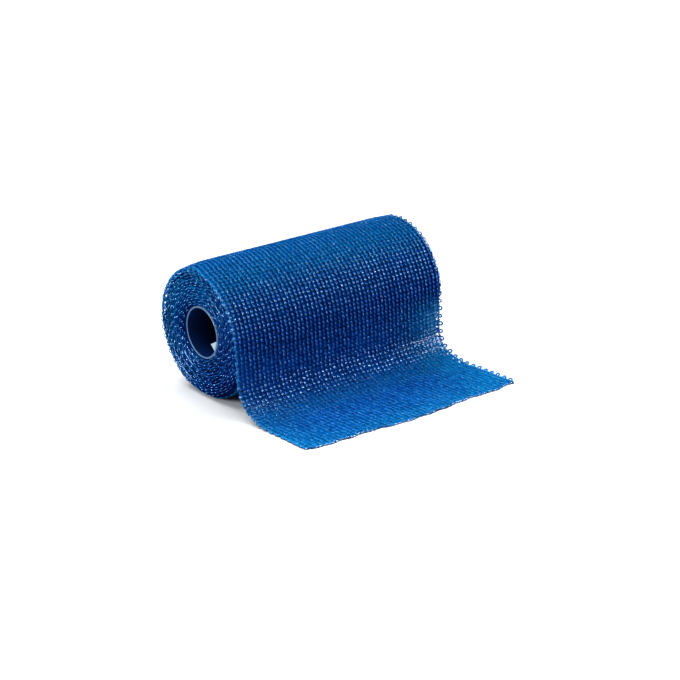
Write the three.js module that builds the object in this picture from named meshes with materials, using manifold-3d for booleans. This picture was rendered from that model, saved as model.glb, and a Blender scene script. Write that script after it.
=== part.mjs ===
// A roll of knitted fibreglass casting tape on a plastic core, with its loose end pulled out flat.
// Millimetres, +Z up. The roll's axis runs along X at y = 0, the roll stands on z = 0, and the loose
// end leaves the front of the roll and runs towards -Y. The origin is on the resting surface, under
// the middle of the core.
import * as THREE from 'three';
import { mergeVertices } from 'three/addons/utils/BufferGeometryUtils.js';
import Module from 'manifold-3d';

const wasm = await Module();
wasm.setup();

// Core tube
const CORE_LENGTH = 98;
const CORE_RADIUS = 10.3;
const CORE_WALL = 0.8;
const CORE_SIDES = 64;

// Tongue of the core wall, bent into the bore at the near end
const TONGUE_DEPTH = 3.1;
const TONGUE_THICKNESS = 1;
const TONGUE_TOP_ANGLE = 184;
const TONGUE_TIP_ANGLE = 207;
const TONGUE_FOOT_ANGLE = 212;

// Wound tape
const ROLL_RADIUS = 26.5;
const TAPE_THICKNESS = 1;
const PIECE_GAP = 0.3;
const FLAT_SPOT_WIDTH = 9;
const TURN_STATIONS = 96;
const LEAVING_ANGLE = 180;
const STEP_ANGLE = 0.8;
const STEP_RUN = 0.22;
const END_ROUNDING = 0.4;
const LIP_SLOPE = 0.15;
const WELD_DISTANCE = 1e-4;

// Loose end
const LOOSE_WIDTH = 102.3;
const LOOSE_TOP_NEAR_X = -53.3;
const LOOSE_CUT_NEAR_X = -49.3;
const BEND_RADIUS_NEAR = 12.5;
const BEND_RADIUS_FAR = 9.5;
const BEND_SWEEP = 68;
const RUNOUT_RADIUS = 30;
const COLUMNS_ACROSS = 20;
const DROP_STEPS = 4;
const BEND_STEPS = 8;
const RUNOUT_STEPS = 5;
const FLAT_STEPS = 5;

// How far the wound turns stand out at each end, from the bore (0) to the turn under the last one (1)
const END_RELIEF = [
  { build: 0.0, near: 0.0, far: 0.0 },
  { build: 0.2, near: 0.5, far: -0.3 },
  { build: 0.4, near: -0.1, far: 0.4 },
  { build: 0.6, near: 0.4, far: -0.2 },
  { build: 0.8, near: 0.0, far: 0.3 },
];

// The last turn's two edges, and the near edge of the turn under it, from where the last turn starts
// (turn 0, front), under the roll (0.25), up the back (0.5) and over the top (0.75) to where it leaves
const LAST_TURN = [
  { turn: 0.0, nearX: -48.4, farX: 49.4, underX: -49.2 },
  { turn: 0.12, nearX: -47.0, farX: 50.0, underX: -48.5 },
  { turn: 0.25, nearX: -46.8, farX: 50.4, underX: -47.8 },
  { turn: 0.38, nearX: -48.4, farX: 50.5, underX: -48.9 },
  { turn: 0.5, nearX: -49.0, farX: 50.6, underX: -49.3 },
  { turn: 0.62, nearX: -48.7, farX: 50.2, underX: -49.1 },
  { turn: 0.7, nearX: -49.0, farX: 49.7, underX: -49.1 },
  { turn: 0.8, nearX: -53.1, farX: 49.2, underX: -49.3 },
  { turn: 1.0, nearX: -53.3, farX: 49.0, underX: -49.3 },
];

// The cut end of the tape on the surface, from the near selvedge (0) to the far one (1)
const CUT_END = [
  { across: 0.0, y: -62.4 },
  { across: 0.06, y: -64.4 },
  { across: 0.25, y: -65.1 },
  { across: 0.45, y: -67.3 },
  { across: 0.6, y: -67.3 },
  { across: 0.75, y: -66.2 },
  { across: 0.87, y: -67.0 },
  { across: 1.0, y: -65.8 },
];

const BORE_RADIUS = CORE_RADIUS + PIECE_GAP;
const WRAP_STEP = TAPE_THICKNESS + PIECE_GAP;
const AXIS_Z = Math.sqrt(ROLL_RADIUS ** 2 - (FLAT_SPOT_WIDTH / 2) ** 2);

const COLOURS = {
  core: { color: 0xb9c8dc, roughness: 0.35, metalness: 0 },
  wound_roll: { color: 0x0b3f8f, roughness: 0.4, metalness: 0 },
  loose_end: { color: 0x0a72c4, roughness: 0.4, metalness: 0 },
};

const radians = THREE.MathUtils.degToRad;
const lerp = THREE.MathUtils.lerp;

// Reads a column of a table at a place between its rows, easing from row to row.
function readTable(rows, place, column, value) {
  const last = rows.length - 1;
  let k = 0;
  while (k < last - 1 && value > rows[k + 1][place]) {
    k += 1;
  }
  const span = rows[k + 1][place] - rows[k][place];
  const t = THREE.MathUtils.clamp((value - rows[k][place]) / span, 0, 1);
  return lerp(rows[k][column], rows[k + 1][column], THREE.MathUtils.smoothstep(t, 0, 1));
}

// Joins rows of points into one closed skin. The rows are closed loops. They meet end to end in a
// ring, or the first and last are closed by a strip across the loop's two halves.
function skinOfLoops(loops, ring) {
  const size = loops[0].length;
  const positions = loops.flat().flatMap((p) => [p.x, p.y, p.z]);
  const indices = [];
  const quad = (a, b, c, d) => indices.push(a, b, c, a, c, d);
  const count = ring ? loops.length : loops.length - 1;
  for (let i = 0; i < count; i += 1) {
    const here = i * size;
    const next = ((i + 1) % loops.length) * size;
    for (let k = 0; k < size; k += 1) {
      const after = (k + 1) % size;
      quad(here + k, here + after, next + after, next + k);
    }
  }
  if (!ring) {
    const end = (loops.length - 1) * size;
    for (let k = 0; k < size / 2 - 1; k += 1) {
      quad(k, size - 1 - k, size - 2 - k, k + 1);
      quad(end + k, end + k + 1, end + size - 2 - k, end + size - 1 - k);
    }
  }
  const geometry = new THREE.BufferGeometry();
  geometry.setAttribute('position', new THREE.Float32BufferAttribute(positions, 3));
  geometry.setIndex(indices);
  return geometry;
}

function toManifold(geometry) {
  const bare = geometry.index ? geometry.clone() : geometry;
  bare.deleteAttribute('normal');
  bare.deleteAttribute('uv');
  const merged = mergeVertices(bare, WELD_DISTANCE);
  const vertProperties = new Float32Array(merged.attributes.position.array);
  const triVerts = new Uint32Array(merged.index.array);
  return new wasm.Manifold(new wasm.Mesh({ numProp: 3, vertProperties, triVerts }));
}

function fromManifold(solid) {
  const mesh = solid.getMesh();
  const geometry = new THREE.BufferGeometry();
  geometry.setAttribute('position', new THREE.Float32BufferAttribute(mesh.vertProperties, 3));
  geometry.setIndex(Array.from(mesh.triVerts));
  return geometry;
}

function named(name, geometry) {
  const bare = geometry.clone();
  bare.computeVertexNormals();
  const mesh = new THREE.Mesh(bare, new THREE.MeshStandardMaterial(COLOURS[name]));
  mesh.name = name;
  return mesh;
}

// A tube made by turning its wall's section about Y, then laid along X.
function coreTube() {
  const half = CORE_LENGTH / 2;
  const inner = CORE_RADIUS - CORE_WALL;
  const section = [
    new THREE.Vector2(inner, -half),
    new THREE.Vector2(CORE_RADIUS, -half),
    new THREE.Vector2(CORE_RADIUS, half),
    new THREE.Vector2(inner, half),
    new THREE.Vector2(inner, -half),
  ];
  return new THREE.LatheGeometry(section, CORE_SIDES).rotateZ(Math.PI / 2).translate(0, 0, AXIS_Z);
}

// A flat three-cornered tongue in the plane of the core's near rim.
function coreTongue() {
  const root = CORE_RADIUS - CORE_WALL / 2;
  const tip = CORE_RADIUS - CORE_WALL - TONGUE_DEPTH;
  const corner = (radius, angle) => {
    const a = radians(angle);
    return new THREE.Vector2(radius * Math.cos(a), radius * Math.sin(a));
  };
  const outline = new THREE.Shape([
    corner(root, TONGUE_TOP_ANGLE),
    corner(tip, TONGUE_TIP_ANGLE),
    corner(root, TONGUE_FOOT_ANGLE),
  ]);
  const plate = new THREE.ExtrudeGeometry(outline, { depth: TONGUE_THICKNESS, bevelEnabled: false });
  // The outline's x and y become the part's y and z, and its depth runs along the part's x.
  const turn = new THREE.Matrix4().makeBasis(
    new THREE.Vector3(0, 1, 0),
    new THREE.Vector3(0, 0, 1),
    new THREE.Vector3(1, 0, 0),
  );
  return plate.applyMatrix4(turn).translate(-CORE_LENGTH / 2, 0, AXIS_Z);
}

function core() {
  return fromManifold(toManifold(coreTube()).add(toManifold(coreTongue())));
}

// Outer radius of the roll along its last turn. It starts one tape thickness lower, under the place
// where the tape leaves, and climbs to the full radius before it reaches the resting surface.
function wrapRadius(turn) {
  return ROLL_RADIUS - WRAP_STEP * (1 - THREE.MathUtils.smoothstep(turn, 0, STEP_RUN));
}

// The closed outline of the wound tape at one place of its turn, as x and radius: out along the far
// end, over the last turn to the near end, and back in to the bore.
function woundOutline(turn) {
  const outer = wrapRadius(turn);
  const under = outer - TAPE_THICKNESS;
  const half = CORE_LENGTH / 2;
  const nearEdge = readTable(LAST_TURN, 'turn', 'nearX', turn);
  const farEdge = readTable(LAST_TURN, 'turn', 'farX', turn);
  const underEdge = readTable(LAST_TURN, 'turn', 'underX', turn);
  const nearFace = END_RELIEF.map((row) => [-half - row.near, lerp(BORE_RADIUS, under, row.build)]);
  nearFace.push([underEdge, under]);
  const farFace = END_RELIEF.map((row) => [half + row.far, lerp(BORE_RADIUS, under, row.build)]);
  farFace.push([half, under]);
  const farLip = [
    [farEdge, under + LIP_SLOPE],
    [farEdge, outer - END_ROUNDING],
    [farEdge - END_ROUNDING, outer],
  ];
  const nearLip = [
    [nearEdge + END_ROUNDING, outer],
    [nearEdge, outer - END_ROUNDING],
    [nearEdge, under + LIP_SLOPE],
  ];
  return [...farFace, ...farLip, ...nearLip, ...nearFace.reverse()];
}

function woundRoll() {
  const loops = [];
  const sweep = 360 - STEP_ANGLE;
  for (let i = 0; i <= TURN_STATIONS; i += 1) {
    const turn = i / TURN_STATIONS;
    const angle = radians(LEAVING_ANGLE + STEP_ANGLE + turn * sweep);
    const loop = woundOutline(turn).map(([x, radius]) => {
      const y = radius * Math.cos(angle);
      const z = AXIS_Z + radius * Math.sin(angle);
      return new THREE.Vector3(x, y, Math.max(z, 0));
    });
    loops.push(loop);
  }
  return skinOfLoops(loops, true);
}

// The underside of the loose end from the roll to the cut, at one place across its width, as points
// with the direction that faces away from the roll and the surface: straight down, round the bend,
// out along a wide arc and flat to the cut.
function looseEndRun(across) {
  const startY = -(ROLL_RADIUS - TAPE_THICKNESS);
  const startZ = AXIS_Z - ROLL_RADIUS * Math.sin(radians(STEP_ANGLE)) - PIECE_GAP;
  const bend = lerp(BEND_RADIUS_NEAR, BEND_RADIUS_FAR, across);
  const sweep = radians(BEND_SWEEP);
  const rest = Math.PI / 2 - sweep;
  const bendZ = bend * Math.sin(sweep) + RUNOUT_RADIUS * (1 - Math.cos(rest));
  const bendEndY = startY - bend * (1 - Math.cos(sweep));
  const flatY = bendEndY - RUNOUT_RADIUS * Math.sin(rest);
  const cutY = readTable(CUT_END, 'across', 'y', across);
  const points = [];
  const add = (y, z, turned) => points.push({ y, z, awayY: -Math.cos(turned), awayZ: Math.sin(turned) });
  for (let i = 0; i < DROP_STEPS; i += 1) {
    add(startY, lerp(startZ, bendZ, i / DROP_STEPS), 0);
  }
  for (let i = 0; i < BEND_STEPS; i += 1) {
    const turned = (sweep * i) / BEND_STEPS;
    add(startY - bend * (1 - Math.cos(turned)), bendZ - bend * Math.sin(turned), turned);
  }
  for (let i = 0; i < RUNOUT_STEPS; i += 1) {
    const left = rest * (1 - i / RUNOUT_STEPS);
    add(flatY + RUNOUT_RADIUS * Math.sin(left), RUNOUT_RADIUS * (1 - Math.cos(left)), Math.PI / 2 - left);
  }
  for (let i = 0; i <= FLAT_STEPS; i += 1) {
    add(lerp(flatY, cutY, i / FLAT_STEPS), 0, Math.PI / 2);
  }
  return points;
}

function looseEnd() {
  const loops = [];
  for (let i = 0; i <= COLUMNS_ACROSS; i += 1) {
    const across = i / COLUMNS_ACROSS;
    const run = looseEndRun(across);
    const underside = [];
    const topside = [];
    run.forEach((p, k) => {
      const along = k / (run.length - 1);
      const x = lerp(LOOSE_TOP_NEAR_X, LOOSE_CUT_NEAR_X, along) + across * LOOSE_WIDTH;
      underside.push(new THREE.Vector3(x, p.y, p.z));
      topside.push(new THREE.Vector3(x, p.y + p.awayY * TAPE_THICKNESS, p.z + p.awayZ * TAPE_THICKNESS));
    });
    loops.push([...topside, ...underside.reverse()]);
  }
  return skinOfLoops(loops, false);
}

const group = new THREE.Group();
group.add(named('core', core()));
group.add(named('wound_roll', woundRoll()));
group.add(named('loose_end', looseEnd()));

export default group;
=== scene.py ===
"""The looks of a roll of knitted fibreglass casting tape: real yarns, a plastic core and studio light."""
import math
import bpy
import numpy as np
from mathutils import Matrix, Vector


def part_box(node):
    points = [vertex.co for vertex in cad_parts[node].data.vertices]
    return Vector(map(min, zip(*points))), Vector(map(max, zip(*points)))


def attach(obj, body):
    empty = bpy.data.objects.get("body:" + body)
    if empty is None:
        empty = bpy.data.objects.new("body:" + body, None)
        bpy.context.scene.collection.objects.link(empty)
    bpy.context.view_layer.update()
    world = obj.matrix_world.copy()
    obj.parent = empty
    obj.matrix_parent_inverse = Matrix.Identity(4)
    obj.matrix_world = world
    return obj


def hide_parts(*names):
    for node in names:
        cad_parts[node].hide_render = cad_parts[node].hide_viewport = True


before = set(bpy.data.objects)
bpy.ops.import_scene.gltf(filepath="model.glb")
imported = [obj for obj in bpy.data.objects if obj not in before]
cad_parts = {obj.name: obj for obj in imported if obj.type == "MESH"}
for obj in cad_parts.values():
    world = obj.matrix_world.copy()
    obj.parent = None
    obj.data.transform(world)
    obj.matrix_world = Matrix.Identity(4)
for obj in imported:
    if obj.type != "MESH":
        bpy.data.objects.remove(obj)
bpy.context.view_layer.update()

# Lengths below are in millimetres, and a mesh is turned to metres when it is made
MM = 0.001
roll_low, roll_high = [np.array(corner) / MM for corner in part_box("wound_roll")]
core_low, core_high = [np.array(corner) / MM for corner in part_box("core")]

# The wound tape, as the frame has it
ROLL_RADIUS = (roll_high[1] - roll_low[1]) / 2
AXIS_Z = roll_high[2] - ROLL_RADIUS
CORE_RADIUS = (core_high[2] - core_low[2]) / 2
CORE_NEAR = core_low[0]
CORE_FAR = core_high[0]
BORE_RADIUS = CORE_RADIUS + 0.3
TAPE_THICKNESS = 1.0
WRAP_STEP = 1.3
STEP_RUN = 0.22
MID_RADIUS = ROLL_RADIUS - TAPE_THICKNESS / 2
TURN_LENGTH = 2 * math.pi * MID_RADIUS

# The loose end, as in the frame
LOOSE_WIDTH = 102.3
LOOSE_TOP_NEAR_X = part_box("loose_end")[0][0] / MM
LOOSE_CUT_NEAR_X = -49.3
BEND_RADIUS_NEAR = 12.5
BEND_RADIUS_FAR = 9.5
BEND_SWEEP = math.radians(68)
RUNOUT_RADIUS = 30
RUNOUT_SWEEP = math.pi / 2 - BEND_SWEEP

# The knit: its wales run along the tape and its courses across it
WALES = 52
WALE_PITCH = 1.95
COURSE_PITCH = 1.65
COURSES_ON_ROLL = int(TURN_LENGTH / COURSE_PITCH) + 2
# How far the selvedge loops reach past the middle of the outer wales
PICOT_REACH = (LOOSE_WIDTH - (WALES - 1) * WALE_PITCH) / 2

# The last turn's edges, from where it starts (turn 0, front) under and over to where it leaves (1)
LAST_TURN = [
    {"turn": 0.0, "near": -48.4, "far": 49.4, "under": -49.2},
    {"turn": 0.12, "near": -47.0, "far": 50.0, "under": -48.5},
    {"turn": 0.25, "near": -47.8, "far": 50.4, "under": -48.8},
    {"turn": 0.38, "near": -49.6, "far": 50.7, "under": -50.1},
    {"turn": 0.5, "near": -50.2, "far": 51.0, "under": -50.5},
    {"turn": 0.62, "near": -49.8, "far": 51.0, "under": -50.2},
    {"turn": 0.7, "near": -49.6, "far": 50.6, "under": -49.8},
    {"turn": 0.8, "near": -53.1, "far": 49.8, "under": -49.4},
    {"turn": 1.0, "near": -53.3, "far": 49.0, "under": -49.3},
]

# How the last turn's edges sink: how far in they start to, how deep, and where in the turn
SAG_REACH = 5.0
NEAR_SAG = {"depth": 1.0, "turn": 0.7, "spread": 0.1}
FAR_SAG = {"depth": 0.35, "turn": 0.66, "spread": 0.16}

# The cut end on the surface, from the near selvedge (0) to the far one (1)
CUT_END = [
    {"across": 0.0, "y": -62.4},
    {"across": 0.06, "y": -64.4},
    {"across": 0.25, "y": -65.1},
    {"across": 0.45, "y": -67.3},
    {"across": 0.6, "y": -67.3},
    {"across": 0.75, "y": -66.2},
    {"across": 0.87, "y": -67.0},
    {"across": 1.0, "y": -65.8},
]
# How ragged the cut is, and how fast that changes across it
RAGGED = 0.3
RAGGED_RATE = 0.7

# The least height of a yarn's surface above the floor
FLOOR_CLEAR = 0.02


def read_table(rows, place, column, value):
    """Reads a column at places between the rows, easing from row to row."""
    places = np.array([row[place] for row in rows])
    values = np.array([row[column] for row in rows])
    k = np.clip(np.searchsorted(places, value, side="right") - 1, 0, len(rows) - 2)
    t = np.clip((value - places[k]) / (places[k + 1] - places[k]), 0, 1)
    return values[k] + (values[k + 1] - values[k]) * t * t * (3 - 2 * t)


def wrap_radius(turn):
    """Outer radius of the last turn, from 0 where it starts to 1 where it leaves the roll."""
    t = np.clip(turn / STEP_RUN, 0, 1)
    return ROLL_RADIUS - WRAP_STEP * (1 - t * t * (3 - 2 * t))


def place_on_roll(across, along, height):
    """Tape on the roll: along is negative, and counts back from where the tape leaves."""
    turn = 1 + along / TURN_LENGTH
    angle = math.pi * (2 * turn - 1)
    radius = wrap_radius(turn) - TAPE_THICKNESS / 2 + height
    near = read_table(LAST_TURN, "turn", "near", turn)
    far = read_table(LAST_TURN, "turn", "far", turn)
    z = AXIS_Z + radius * np.sin(angle)
    lowest = TAPE_THICKNESS / 2 - height
    return np.stack([near + (far - near) * across, radius * np.cos(angle), np.maximum(z, lowest)], axis=-1)


def loose_sizes(across):
    """Bend radius, height where the bend starts, and the lengths to the bend, the run-out and the flat."""
    bend = BEND_RADIUS_NEAR + (BEND_RADIUS_FAR - BEND_RADIUS_NEAR) * across
    bend_z = bend * math.sin(BEND_SWEEP) + RUNOUT_RADIUS * (1 - math.cos(RUNOUT_SWEEP))
    to_bend = AXIS_Z - bend_z
    to_runout = to_bend + (bend - TAPE_THICKNESS / 2) * BEND_SWEEP
    to_flat = to_runout + (RUNOUT_RADIUS - TAPE_THICKNESS / 2) * RUNOUT_SWEEP
    return bend, bend_z, to_bend, to_runout, to_flat


def cut_along(across):
    """How far along the tape its cut end lies."""
    bend, _, _, _, to_flat = loose_sizes(across)
    start_y = -(ROLL_RADIUS - TAPE_THICKNESS)
    flat_y = start_y - bend * (1 - math.cos(BEND_SWEEP)) - RUNOUT_RADIUS * math.sin(RUNOUT_SWEEP)
    return to_flat + flat_y - read_table(CUT_END, "across", "y", across)


LOOSE_LENGTH = float(cut_along(np.array(0.5)))


def place_on_loose_end(across, along, height):
    """Tape off the roll: straight down, round the bend, out along a wide arc, and flat."""
    bend, bend_z, to_bend, to_runout, to_flat = loose_sizes(across)
    start_y = -(ROLL_RADIUS - TAPE_THICKNESS)
    bend_y = start_y - bend * (1 - math.cos(BEND_SWEEP))
    flat_y = bend_y - RUNOUT_RADIUS * math.sin(RUNOUT_SWEEP)
    in_bend = np.clip(along - to_bend, 0, to_runout - to_bend) / (bend - TAPE_THICKNESS / 2)
    in_runout = np.clip(along - to_runout, 0, to_flat - to_runout) / (RUNOUT_RADIUS - TAPE_THICKNESS / 2)
    turned = in_bend + in_runout
    left = RUNOUT_SWEEP - in_runout
    y_in_bend = start_y - bend * (1 - np.cos(in_bend))
    y = np.where(along < to_runout, y_in_bend, flat_y + RUNOUT_RADIUS * np.sin(left))
    z = np.where(along < to_runout, bend_z - bend * np.sin(in_bend), RUNOUT_RADIUS * (1 - np.cos(left)))
    z = np.where(along < to_bend, AXIS_Z - along, z)
    y = y - np.maximum(along - to_flat, 0)
    off = TAPE_THICKNESS / 2 + height
    near = LOOSE_TOP_NEAR_X + (LOOSE_CUT_NEAR_X - LOOSE_TOP_NEAR_X) * along / LOOSE_LENGTH
    x = near + LOOSE_WIDTH * across
    return np.stack([x, y - off * np.cos(turned), z + off * np.sin(turned)], axis=-1)


def edge_sag(across, along):
    """How far the wound tape's free edges sink where the turns below are narrower, over the back and top."""
    near = np.exp(-(across * LOOSE_WIDTH / SAG_REACH) ** 2)
    far = np.exp(-((1 - across) * LOOSE_WIDTH / SAG_REACH) ** 2)
    turn = 1 + along / TURN_LENGTH
    near_part = np.exp(-(((turn - NEAR_SAG["turn"]) / NEAR_SAG["spread"]) ** 2))
    far_part = np.exp(-(((turn - FAR_SAG["turn"]) / FAR_SAG["spread"]) ** 2))
    return NEAR_SAG["depth"] * near * near_part + FAR_SAG["depth"] * far * far_part


def across_of(points):
    """How far across the tape points lie, from 0 at the near selvedge to 1 at the far one."""
    return (points[..., 0] + PICOT_REACH) / LOOSE_WIDTH


def place_tape(points):
    """Turns tape points (across in mm from the first wale, along, height) into places in the frame."""
    across = across_of(points)
    by_wale = np.cos(points[..., 0] * 2 * math.pi / WALE_PITCH)
    ragged = RAGGED * (by_wale + np.sin(points[..., 0] * RAGGED_RATE + 1.0))
    along = np.minimum(points[..., 1], cut_along(np.clip(across, 0, 1)) + ragged)
    height = points[..., 2] - edge_sag(across, along)
    on_roll = place_on_roll(across, np.minimum(along, 0), height)
    off_roll = place_on_loose_end(across, np.maximum(along, 0), height)
    placed = np.where((along < 0)[..., None], on_roll, off_roll)
    placed[..., 2] = np.maximum(placed[..., 2], FLOOR_CLEAR)
    return placed


# Added to the upright direction, so that a yarn that runs straight up has a frame too
UP_NUDGE = (0.015, 0.01, 0.0)


def tube_rings(paths, radius, sides, flat=1.0):
    """Rings of points round many paths of the same number of points, as (path, point, side, 3)."""
    ahead = np.gradient(paths, axis=1)
    ahead /= np.linalg.norm(ahead, axis=-1, keepdims=True) + 1e-9
    up = np.array([0.0, 0.0, 1.0]) - ahead * ahead[..., 2:3]
    up += np.array(UP_NUDGE)
    up -= ahead * (up * ahead).sum(-1, keepdims=True)
    up /= np.linalg.norm(up, axis=-1, keepdims=True)
    side = np.cross(ahead, up)
    turn = (np.arange(sides) + 0.5) * 2 * math.pi / sides
    thick = np.broadcast_to(np.asarray(radius, float), paths.shape[:2])[..., None, None]
    round_up = up[:, :, None] * np.cos(turn)[:, None] * flat
    round_side = side[:, :, None] * np.sin(turn)[:, None]
    return paths[:, :, None] + thick * (round_up + round_side)


def tube_walls(count, points, sides):
    """Quads along count tubes, for rings laid out as tube_rings gives them."""
    ring = np.arange(sides)
    after = (ring + 1) % sides
    step = np.arange(points - 1)[:, None] * sides
    wall = np.stack([step + ring, step + after, step + sides + after, step + sides + ring], axis=-1)
    offset = np.arange(count)[:, None, None] * points * sides
    return (wall.reshape(-1, 4) + offset).reshape(-1, 4)


def tube_caps(count, points, sides):
    """Triangles that close both ends of count tubes."""
    cap = np.array([[0, k, k + 1] for k in range(1, sides - 1)])
    one = np.concatenate([cap[:, ::-1], cap + (points - 1) * sides])
    offset = np.arange(count)[:, None, None] * points * sides
    return (one + offset).reshape(-1, 3)


NO_CAPS = np.zeros((0, 3), int)
# Heights in the knit that count as its deepest hollows and its highest crests, between which the yarns go
# from painted shade to painted highlight
HOLLOW = -0.15
CREST = 0.5


class Knit:
    """Gathers the tubes of one piece."""

    def __init__(self):
        self.points = []
        self.quads = []
        self.caps = []
        self.maps = []
        self.tints = []
        self.lifts = []
        self.total = 0

    def add(self, paths, radius, sides=4, flat=1.0, tint=0.5, lift=0.0):
        """Adds a tube along each path: a tint for each, and a lift that counts as height for its painted
        shading and its gloss.
        """
        paths = np.asarray(paths, float)
        if paths.ndim == 2:
            paths = paths[None]
        count, points = paths.shape[:2]
        rings = tube_rings(paths, radius, sides, flat)
        gone = np.linalg.norm(np.diff(paths, axis=1), axis=-1)
        length = np.concatenate([np.zeros((count, 1)), np.cumsum(gone, axis=1)], axis=1)
        around = np.arange(sides) / sides
        uv = np.stack(np.broadcast_arrays(length[:, :, None], around), axis=-1)
        tints = np.broadcast_to(np.asarray(tint, float).reshape(-1, 1, 1), (count, points, sides))
        self.points.append(rings.reshape(-1, 3))
        self.maps.append(uv.reshape(-1, 2))
        self.tints.append(tints.reshape(-1))
        self.lifts.append(np.full(count * points * sides, lift))
        self.quads.append(tube_walls(count, points, sides) + self.total)
        self.caps.append(tube_caps(count, points, sides) + self.total)
        self.total += count * points * sides

    def arrays(self):
        """Points, quads, caps, UV places and tints, each as one array."""
        return [np.concatenate(x) for x in (self.points, self.quads, self.caps, self.maps, self.tints)]

    def crests(self):
        """How far each point stands out of the knit, from 0 in its hollows to 1 on its crests."""
        height = np.concatenate(self.points)[:, 2] + np.concatenate(self.lifts)
        return np.clip((height - HOLLOW) / (CREST - HOLLOW), 0, 1)


def put_in_scene(name, data):
    """A new object in the scene."""
    made = bpy.data.objects.new(name, data)
    bpy.context.scene.collection.objects.link(made)
    return made


def link_piece(name, mesh):
    """Puts a mesh in the scene as a piece that rides on the root."""
    piece = put_in_scene(name, mesh)
    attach(piece, "root")
    return piece


def make_mesh(name, points, quads, caps, uv, marks, material):
    """A smooth mesh piece in metres, of quads and triangles, with a UV map and marks for each point."""
    mesh = bpy.data.meshes.new(name)
    mesh.vertices.add(len(points))
    mesh.vertices.foreach_set("co", (points * MM).astype(np.float32).ravel())
    corners = np.concatenate([quads.ravel(), caps.ravel()]).astype(np.int32)
    starts = np.concatenate([np.arange(len(quads)) * 4, quads.size + np.arange(len(caps)) * 3])
    mesh.loops.add(len(corners))
    mesh.loops.foreach_set("vertex_index", corners)
    mesh.polygons.add(len(starts))
    mesh.polygons.foreach_set("loop_start", starts.astype(np.int32))
    mesh.polygons.foreach_set("use_smooth", np.ones(len(starts), bool))
    layer = mesh.uv_layers.new(name="UVMap")
    layer.data.foreach_set("uv", uv[corners].astype(np.float32).ravel())
    for label, values in marks.items():
        layer = mesh.attributes.new(label, "FLOAT", "POINT")
        layer.data.foreach_set("value", values.astype(np.float32))
    mesh.update(calc_edges=True)
    mesh.validate()
    mesh.materials.append(material)
    return link_piece(name, mesh)


# Radii of the yarns that make the chain loops, the inlays and the selvedge loops
YARN = 0.3
INLAY = 0.29
PICOT_YARN = 0.28
# The loose end's yarns are drawn less tight than those on the roll, in full from FULLER_BY on
FULLER = 0.25
INLAY_FULLER = 0.62
FULLER_BY = 11.0

# Slow waves that move the knit's columns (0) or rows (1), with their rates for each mm across and along
WOBBLE = 0.16
WAVES = [
    {"moves": 0, "across": 0.0, "along": 1 / 7.3, "start": 1.1, "size": 0.5},
    {"moves": 0, "across": 1 / 9.0, "along": 1 / 2.9, "start": 0.0, "size": 0.3},
    {"moves": 1, "across": 1 / 11.0, "along": 1 / 23.0, "start": 0.0, "size": 0.9},
    {"moves": 1, "across": 1 / 3.7, "along": 0.0, "start": 2.0, "size": 0.25},
]


def wobble(points):
    """The points with the knit's slow unevenness."""
    moved = points.copy()
    for wave in WAVES:
        phase = points[..., 0] * wave["across"] + points[..., 1] * wave["along"] + wave["start"]
        moved[..., wave["moves"]] += WOBBLE * wave["size"] * np.sin(phase)
    return moved


def fuller(along, most):
    """How much thicker the yarns are than on the roll."""
    return 1 + most * np.clip(along / FULLER_BY, 0, 1)


# One chain loop, across and along from the middle of its cell, and height: one leg stands higher
LOOP = [
    {"across": -0.08, "along": -0.96, "height": -0.34},
    {"across": -0.19, "along": -0.56, "height": 0.24},
    {"across": -0.31, "along": 0.26, "height": 0.36},
    {"across": -0.24, "along": 0.72, "height": -0.14},
    {"across": 0.24, "along": 0.72, "height": -0.14},
    {"across": 0.31, "along": 0.26, "height": 0.18},
    {"across": 0.19, "along": -0.56, "height": 0.08},
    {"across": 0.08, "along": -0.96, "height": -0.34},
]
# How unlike each other the loops are
LOOP_WIDTHS = (0.88, 1.1)
LOOP_THICKNESSES = (0.9, 1.12)
LOOP_TILT = 0.15
LOOP_BEND = 0.028
STRAY = 0.055
LOOSE_STRAY = 0.07
# How far past the cut's line a loop's middle may lie, in courses
CUT_SPARE = 0.35
# How far the loops lean: the inlays pull them left and right by turns, and the tape is askew
LEAN_MOST = 0.34
LEAN_LEAST = -0.02


def chain_loops(knit, rng, first, last):
    """The chain loops of every wale for the courses from first to last that lie before the cut."""
    shape = np.array([[p["across"], p["along"], p["height"]] for p in LOOP])
    wale, course = np.meshgrid(np.arange(WALES), np.arange(first, last), indexing="ij")
    wale, course = wale.ravel(), course.ravel()
    centre = np.stack([wale * WALE_PITCH, (course + 0.5) * COURSE_PITCH, 0.0 * wale], axis=-1)
    kept = centre[:, 1] < cut_along(across_of(centre)) + CUT_SPARE * COURSE_PITCH
    centre, course = centre[kept], course[kept]
    count = len(centre)
    paths = np.repeat(shape[None], count, axis=0)
    slant = np.where(course % 2 == 0, LEAN_MOST, LEAN_LEAST)[:, None]
    paths[..., 0] = paths[..., 0] * rng.uniform(*LOOP_WIDTHS, (count, 1)) + slant * shape[:, 1]
    paths[..., 2] += shape[:, 1] * rng.normal(0, LOOP_TILT, (count, 1))
    paths += rng.normal(0, LOOP_BEND, paths.shape)
    stray = STRAY + LOOSE_STRAY * np.clip(centre[:, 1:2, None] / FULLER_BY, 0, 1)
    paths += centre[:, None] + rng.normal(0, 1, (count, 1, 3)) * stray * np.array([1, 1, 0.5])
    thick = YARN * rng.uniform(*LOOP_THICKNESSES, (count, 1)) * fuller(centre[:, 1:2], FULLER)
    knit.add(wobble(paths), thick, sides=5, flat=0.5, tint=rng.uniform(0, 1, count))


# An inlay yarn's points in one course, with how far through it they lie and how far past the wale
INLAY_STEPS = [
    {"part": 0.0, "height": -0.18, "past": 0.12},
    {"part": 0.34, "height": -0.1, "past": 0.0},
    {"part": 0.66, "height": -0.1, "past": 0.0},
]
INLAY_SPAN = 2
INLAY_STRAY = 0.035
# The inlays count as lower, so they take more of the hollows' painted shade
INLAY_LIFT = -0.08


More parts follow.
